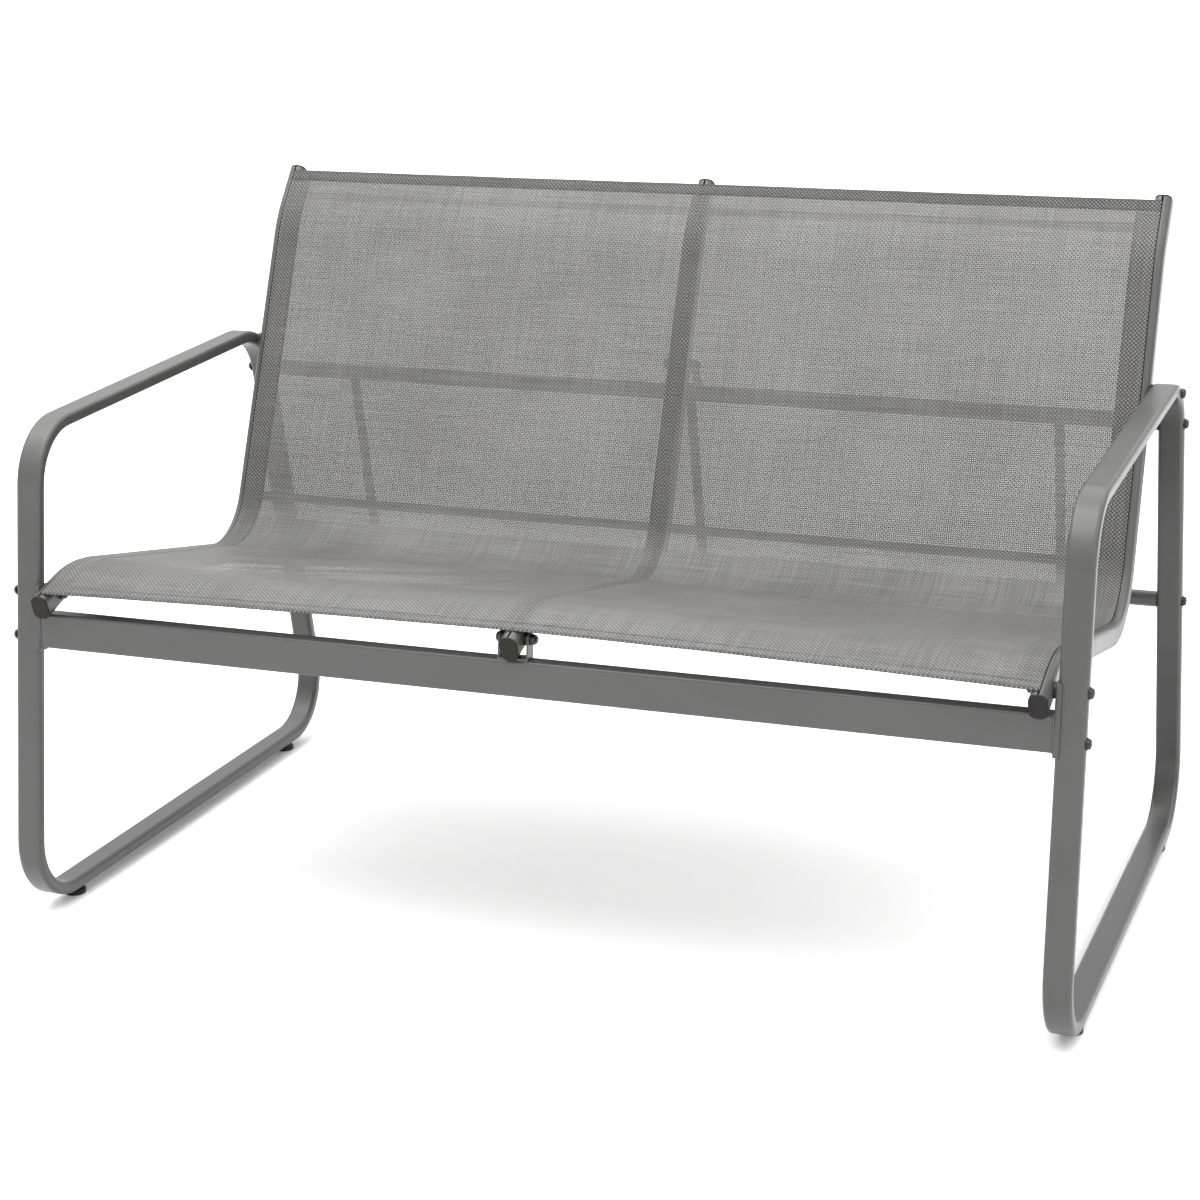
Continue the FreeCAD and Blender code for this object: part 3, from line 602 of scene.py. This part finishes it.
# ---------------------------------------------------------------- materials
class Shader:
    """A material under construction, with short calls for its nodes."""

    def __init__(self, name):
        self.material = bpy.data.materials.new(name)
        self.material.use_nodes = True
        self.tree = self.material.node_tree
        self.tree.nodes.clear()
        self.out = self.tree.nodes.new("ShaderNodeOutputMaterial")
        self.surface = self.tree.nodes.new("ShaderNodeBsdfPrincipled")
        self.link(self.surface.outputs[0], self.out.inputs[0])

    def link(self, a, b):
        self.tree.links.new(a, b)

    def give(self, name, value):
        """Feeds one of the surface's own inputs."""
        self.link(value, self.surface.inputs[name])

    def fixed(self, **values):
        for name, value in values.items():
            self.surface.inputs[name.replace("_", " ")].default_value = value

    def node(self, kind, **settings):
        node = self.tree.nodes.new(kind)
        for name, value in settings.items():
            setattr(node, name, value)
        return node

    def feed(self, socket, value):
        """Gives a socket another socket's value, or a number."""
        if hasattr(value, "is_output"):
            self.link(value, socket)
        else:
            socket.default_value = value

    def math(self, kind, a, b=None, c=None):
        """The result of one arithmetic step on sockets or numbers."""
        node = self.node("ShaderNodeMath", operation=kind)
        for socket, value in zip(node.inputs, (a, b, c)):
            if value is not None:
                self.feed(socket, value)
        return node.outputs[0]

    def noise(self, vector, scale, detail=2.0, roughness=0.5):
        node = self.node("ShaderNodeTexNoise")
        self.link(vector, node.inputs["Vector"])
        node.inputs["Scale"].default_value = scale
        node.inputs["Detail"].default_value = detail
        node.inputs["Roughness"].default_value = roughness
        return node.outputs["Fac"]

    def place(self):
        return self.node("ShaderNodeTexCoord").outputs["Object"]

    def stretch(self, vector, factors):
        node = self.node("ShaderNodeMapping")
        self.link(vector, node.inputs["Vector"])
        node.inputs["Scale"].default_value = factors
        return node.outputs[0]

    def blend(self, share, colour_a, colour_b, kind="MIX"):
        node = self.node("ShaderNodeMix", data_type="RGBA", blend_type=kind)
        self.feed(node.inputs[0], share)
        for socket, colour in ((node.inputs[6], colour_a), (node.inputs[7], colour_b)):
            if hasattr(colour, "is_output"):
                self.link(colour, socket)
            else:
                socket.default_value = (*colour, 1.0)
        return node.outputs[2]

    def span(self, value, low, high, to_low, to_high):
        """Stretches the range low to high into to_low to to_high."""
        node = self.node("ShaderNodeMapRange")
        self.link(value, node.inputs[0])
        for socket, number in zip(node.inputs[1:5], (low, high, to_low, to_high)):
            socket.default_value = number
        return node.outputs[0]

    def bump(self, height, strength, distance, before=None):
        node = self.node("ShaderNodeBump")
        node.inputs["Strength"].default_value = strength
        node.inputs["Distance"].default_value = distance
        self.link(height, node.inputs["Height"])
        if before:
            self.link(before, node.inputs["Normal"])
        return node.outputs[0]


def powder_coat():
    """Semi-gloss grey powder coat: orange peel, faint mottling and fine lighter grain."""
    s = Shader("powder_coat")
    where = s.place()
    peel = s.noise(where, 620.0, 2.0, 0.5)
    mottle = s.noise(where, 9.0, 3.0, 0.55)
    grain = s.noise(where, 2400.0, 1.0, 0.5)
    patches = s.span(mottle, 0.3, 0.7, 0.0, 1.0)
    base = s.blend(patches, (0.0405, 0.0402, 0.0395), (0.050, 0.0497, 0.049))
    base = s.blend(s.span(grain, 0.35, 0.75, 0.0, 0.35), base, (0.074, 0.074, 0.073))
    s.give("Base Color", base)
    s.give("Roughness", s.span(mottle, 0.3, 0.7, 0.30, 0.37))
    s.fixed(Specular_IOR_Level=0.38, Coat_Weight=0.05, Coat_Roughness=0.2)
    fine = s.bump(grain, 0.10, 0.0001)
    s.give("Normal", s.bump(peel, 0.16, 0.0002, fine))
    return s.material


def plastic(name, dark, light, roughness, grain_scale=900.0):
    """Moulded plastic with a fine spark-eroded texture and rubbed high spots."""
    s = Shader(name)
    where = s.place()
    grain = s.noise(where, grain_scale, 3.0, 0.6)
    patch = s.noise(where, 60.0, 2.0, 0.5)
    s.give("Base Color", s.blend(s.span(patch, 0.3, 0.7, 0.0, 1.0), dark, light))
    s.give("Roughness", s.span(grain, 0.3, 0.7, roughness - 0.06, roughness + 0.08))
    s.fixed(Specular_IOR_Level=0.2)
    s.give("Normal", s.bump(grain, 0.25, 0.0002))
    return s.material


def steel(name, dark, light, roughness, metallic):
    """Plated or blackened steel with turning marks and slight staining."""
    s = Shader(name)
    where = s.place()
    marks = s.noise(s.stretch(where, (0.15, 1.0, 1.0)), 1800.0, 2.0, 0.5)
    stain = s.noise(where, 140.0, 3.0, 0.6)
    s.give("Base Color", s.blend(s.span(stain, 0.35, 0.7, 0.0, 1.0), dark, light))
    s.give("Roughness", s.span(marks, 0.3, 0.7, roughness - 0.08, roughness + 0.08))
    s.fixed(Metallic=metallic)
    s.give("Normal", s.bump(marks, 0.15, 0.0001))
    return s.material


def mesh_cloth(name, dark, light, openness):
    """Coated polyester mesh: a plain weave with small holes, yarns of uneven thickness,
    and the yarns' own relief."""
    s = Shader(name)
    where = s.node("ShaderNodeAttribute", attribute_name="cloth").outputs["Vector"]
    parts = s.node("ShaderNodeSeparateXYZ")
    s.link(where, parts.inputs[0])
    cells = []
    shares = []
    for axis in (0, 1):
        count = s.math("DIVIDE", parts.outputs[axis], WEAVE * MM)
        cells.append(s.math("FLOOR", count))
        shares.append(s.math("FRACT", count))
    turn = s.math("FRACT", s.math("MULTIPLY", s.math("ADD", *cells), 0.5))
    warp_up = s.math("GREATER_THAN", turn, 0.25)
    # How far each point is from its warp and weft yarn's middle, 0 to 1
    offsets = [s.math("ABSOLUTE", s.math("MULTIPLY_ADD", share, 2.0, -1.0)) for share in shares]
    weft_slub = s.noise(s.stretch(where, (9.0, 560.0, 1.0)), 1.0, 2.0, 0.6)
    warp_slub = s.noise(s.stretch(where, (560.0, 7.0, 1.0)), 1.0, 2.0, 0.6)
    weft_half = s.span(weft_slub, 0.3, 0.7, 1 - openness * 1.12, 1 - openness * 0.88)
    warp_half = s.span(warp_slub, 0.3, 0.7, 1 - openness * 1.12, 1 - openness * 0.88)
    beyond_warp = s.math("GREATER_THAN", offsets[0], warp_half)
    beyond_weft = s.math("GREATER_THAN", offsets[1], weft_half)
    hole = s.math("MULTIPLY", beyond_warp, beyond_weft)
    s.give("Alpha", s.math("SUBTRACT", 1.0, hole))
    round_warp = s.math("SUBTRACT", 1.0, s.math("POWER", offsets[0], 2.0))
    round_weft = s.math("SUBTRACT", 1.0, s.math("POWER", offsets[1], 2.0))
    over = s.math("MULTIPLY", round_warp, round_weft)
    crest_warp = s.math("MULTIPLY", s.math("MULTIPLY_ADD", over, 0.6, 0.4), warp_up)
    weft_up = s.math("SUBTRACT", 1.0, warp_up)
    crest_weft = s.math("MULTIPLY", s.math("MULTIPLY_ADD", over, 0.6, 0.25), weft_up)
    height = s.math("MAXIMUM", crest_warp, crest_weft)
    tone = s.math("MULTIPLY_ADD", weft_slub, 0.55, s.math("MULTIPLY", warp_slub, 0.45))
    cloud = s.noise(where, 5.0, 3.0, 0.6)
    tone = s.math("MULTIPLY_ADD", cloud, 0.25, s.math("MULTIPLY", tone, 0.75))
    base = s.blend(s.span(tone, 0.41, 0.59, 0.0, 1.0), dark, light)
    # Painted highlight on the yarns on top and painted shade on the ones below, with more
    #     # contrast and more painted shade over the hems and the centre sleeve.
    shade_from_hems = parts.outputs[2]
    reach = s.math("MULTIPLY_ADD", shade_from_hems, 0.45, 0.62)
    lift = s.math("MULTIPLY_ADD", warp_up, reach, s.math("MULTIPLY_ADD", shade_from_hems, -0.22, 0.66))
    shade = s.math("MULTIPLY", s.span(height, 0.2, 1.0, 0.62, 1.12), lift)
    # Painted shade over the hems and the sleeve darkens the whole weave there.
    shade = s.math("MULTIPLY", shade, s.math("MULTIPLY_ADD", shade_from_hems, -0.22, 1.0))
    grey = s.node("ShaderNodeCombineColor")
    for socket in grey.inputs[:3]:
        s.link(shade, socket)
    s.give("Base Color", s.blend(1.0, base, grey.outputs[0], "MULTIPLY"))
    s.give("Roughness", s.span(height, 0.0, 1.0, 0.62, 0.46))
    s.fixed(Specular_IOR_Level=0.25)
    s.give("Normal", s.bump(height, 0.5, 0.0003))
    return s.material


def thread(name, dark, light):
    """Twisted sewing thread, with painted shade in the grooves of its twist and painted highlight
    on the ridges.
    """
    s = Shader(name)
    where = s.place()
    twist_and_shade = s.node("ShaderNodeTexWave", wave_type="BANDS", bands_direction="DIAGONAL")
    s.link(where, twist_and_shade.inputs["Vector"])
    twist_and_shade.inputs["Scale"].default_value = 700.0
    twist_and_shade.inputs["Distortion"].default_value = 1.5
    # Painted shade and highlight along the twist, darker in its grooves.
    s.give("Base Color", s.blend(twist_and_shade.outputs["Fac"], dark, light))
    s.fixed(Roughness=0.6, Sheen_Weight=0.1)
    s.give("Normal", s.bump(twist_and_shade.outputs["Fac"], 0.4, 0.0002))
    return s.material


def pale_floor():
    s = Shader("studio_floor")
    where = s.place()
    cloud = s.noise(where, 0.8, 2.0, 0.5)
    s.give("Base Color", s.blend(cloud, (0.81, 0.81, 0.81), (0.83, 0.83, 0.83)))
    s.fixed(Roughness=0.9, Specular_IOR_Level=0.1)
    return s.material


COAT = powder_coat()
CAP = plastic("cap_plastic", (0.006, 0.005, 0.004), (0.011, 0.0095, 0.007), 0.62)
BLACK = plastic("black_plastic", (0.010, 0.010, 0.010), (0.017, 0.017, 0.017), 0.4)
CORD = plastic("keder_plastic", (0.04, 0.04, 0.04), (0.055, 0.055, 0.054), 0.5, 1500.0)
BOLT = steel("black_fasteners", (0.010, 0.010, 0.011), (0.022, 0.022, 0.023), 0.38, 0.3)
ZINC = steel("zinc_steel", (0.48, 0.48, 0.47), (0.62, 0.62, 0.61), 0.32, 1.0)
CLOTH = mesh_cloth("sling_mesh", (0.078, 0.077, 0.074), (0.134, 0.133, 0.129), 0.25)
# The folded hem is the same cloth, painted darker as the shade it lies in under the main layer.
SHADED_HEM_CLOTH = mesh_cloth("hem_mesh_shaded", (0.058, 0.057, 0.055), (0.090, 0.089, 0.086), 0.12)
THREAD = thread("seam_thread", (0.035, 0.035, 0.034), (0.075, 0.075, 0.073))

BY_SLOT = {
    "frame_paint": COAT,
    "cap_plastic": CAP,
    "black_plastic": BLACK,
    "keder_plastic": CORD,
    "black_fasteners": BOLT,
    "zinc_steel": ZINC,
    "mesh_fabric": CLOTH,
}


def wear(piece, material):
    piece.data.materials.clear()
    piece.data.materials.append(material)


for row in frame["record"]["subparts"]:
    wear(NODES[row["node"]], BY_SLOT[row["material_slot"]])


# ---------------------------------------------------------------- the pieces
sling, sling_width = make_sling()
folds = [make_fold("top_hem", 0.0, 1), make_fold("front_hem", TOTAL, -1)]
side_hem_span = (RAIL_CENTRE - SIDE_HEM, RAIL_CENTRE - SIDE_CLEAR)
side_hems = [
    make_strip("side_hem_left", -side_hem_span[1], -side_hem_span[0], SIDE_HEM_STEP),
    make_strip("side_hem_right", *side_hem_span, SIDE_HEM_STEP),
]
sleeve = make_strip("center_sleeve", -CENTRE_HEM, CENTRE_HEM, SLEEVE_STEP)

side_seam = RAIL_CENTRE - SIDE_HEM + SEAM_INSET
front_seam = TOTAL - FRONT_HEM + SEAM_INSET
seams = [
    make_stitches("side_stitches", [seam_along(-side_seam), seam_along(side_seam)]),
    make_stitches("top_stitches", [seam_across(TOP_HEM - SEAM_INSET)]),
    make_stitches("front_stitches", [seam_across(front_seam), seam_across(TOTAL - EDGE_SEAM)]),
    make_stitches("center_stitches", [seam_along(-CENTRE_SEAM), seam_along(CENTRE_SEAM)]),
]

strut_joins = [
    loop for name in ("left", "center", "right") for loop in strut_loops("strut_" + name)
]
spreader_joins = [
    loop for level in ("top", "lower") for side in ("left", "right")
    for loop in spreader_loops("spreader_%s_%s" % (level, side))
]
welds = [
    bead("strut_welds", strut_joins, BEAD),
    bead("spreader_welds", spreader_joins, SPREADER_BEAD),
    bead("beam_welds", beam_loops(), BEAD),
]

wear(sling, CLOTH)
for piece in folds + side_hems + [sleeve]:
    wear(piece, SHADED_HEM_CLOTH)
for piece in seams:
    wear(piece, THREAD)
for piece in welds:
    wear(piece, COAT)
for piece in [sling, sleeve] + folds + side_hems + seams:
    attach(piece, "bench")
for piece in welds:
    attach(piece, "bench")
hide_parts("sling")


# ---------------------------------------------------------------- studio, in metres
CAMERA_YAW = 20.35          # degrees, towards the bench's right side
CAMERA_PITCH = 14.62        # looking down
CAMERA_ROLL = -0.61
CAMERA_PLACE = (1.0174, -2.8090, 1.1862)
CAMERA_LENS = 80.42         # millimetres, on a film 36 wide
CAMERA_FILM = 36.0
CAMERA_SHIFT = -0.05

# The room's brightness by direction: walls up to one height, ceiling from another
WALLS_TOP = 0.25
CEILING_START = 0.85
WALLS = 1.0
CEILING = 3.0

# Lamps: name, place, what it points at, size, watts
LAMPS = [
    ("overhead", (-0.6, -0.6, 3.2), (0.0, 0.0, 0.4), (3.2, 2.4), 88.0),
    ("front_fill", (2.2, -2.6, 1.8), (0.4, 0.0, 0.4), (1.8, 1.8), 5.0),
    ("right_fill", (3.0, -1.0, 1.6), (0.2, 0.0, 0.4), (1.6, 1.8), 10.0),
]


def make_floor():
    low, _ = CAD_BOX
    size = 40.0
    steps = 8
    vertices = []
    for r in range(steps + 1):
        for c in range(steps + 1):
            x, y = size * (c / steps - 0.5), size * (r / steps - 0.5)
            vertices.append(Vector((x, y, low.z)))
    floor = make_object("floor", vertices, grid_faces(steps + 1, steps + 1))
    wear(floor, pale_floor())


def make_light(name, where, target, size, power):
    data = bpy.data.lights.new(name, "AREA")
    data.shape = "RECTANGLE"
    data.size, data.size_y = size
    data.energy = power
    lamp = bpy.data.objects.new(name, data)
    lamp.location = where
    lamp.rotation_mode = "QUATERNION"
    lamp.rotation_quaternion = (Vector(target) - Vector(where)).to_track_quat("-Z", "Y")
    bpy.context.scene.collection.objects.link(lamp)


def make_world(walls, ceiling):
    """A white room: even pale walls and a brighter ceiling."""
    world = bpy.data.worlds.new("studio")
    world.use_nodes = True
    tree = world.node_tree
    shade = tree.nodes["Background"]
    shade.inputs[0].default_value = (1.0, 1.0, 1.0, 1.0)
    parts = tree.nodes.new("ShaderNodeSeparateXYZ")
    tree.links.new(tree.nodes.new("ShaderNodeTexCoord").outputs["Generated"], parts.inputs[0])
    ramp = tree.nodes.new("ShaderNodeMapRange")
    ramp.interpolation_type = "SMOOTHSTEP"
    tree.links.new(parts.outputs[2], ramp.inputs[0])
    for socket, number in zip(ramp.inputs[1:5], (WALLS_TOP, CEILING_START, walls, ceiling)):
        socket.default_value = number
    tree.links.new(ramp.outputs[0], shade.inputs[1])
    bpy.context.scene.world = world


def make_camera():
    """The camera stands to the bench's right-hand front, a little above it."""
    yaw, pitch, roll = (math.radians(a) for a in (CAMERA_YAW, CAMERA_PITCH, CAMERA_ROLL))
    reach = math.cos(pitch)
    back = Vector((math.sin(yaw) * reach, -math.cos(yaw) * reach, math.sin(pitch)))
    level_right = (-back).cross(Vector((0, 0, 1))).normalized()
    level_up = level_right.cross(-back)
    right = level_right * math.cos(roll) + level_up * math.sin(roll)
    up = level_up * math.cos(roll) - level_right * math.sin(roll)
    data = bpy.data.cameras.new("camera")
    data.sensor_width = CAMERA_FILM
    data.lens = CAMERA_LENS
    data.shift_y = CAMERA_SHIFT
    camera = bpy.data.objects.new("camera", data)
    turn = Matrix((right, up, back)).transposed()
    camera.rotation_mode = "QUATERNION"
    camera.rotation_quaternion = turn.to_quaternion()
    camera.location = CAMERA_PLACE
    bpy.context.scene.collection.objects.link(camera)
    bpy.context.scene.camera = camera


make_floor()
make_world(WALLS, CEILING)
for lamp in LAMPS:
    make_light(*lamp)
make_camera()
bpy.context.scene.view_settings.view_transform = "Standard"
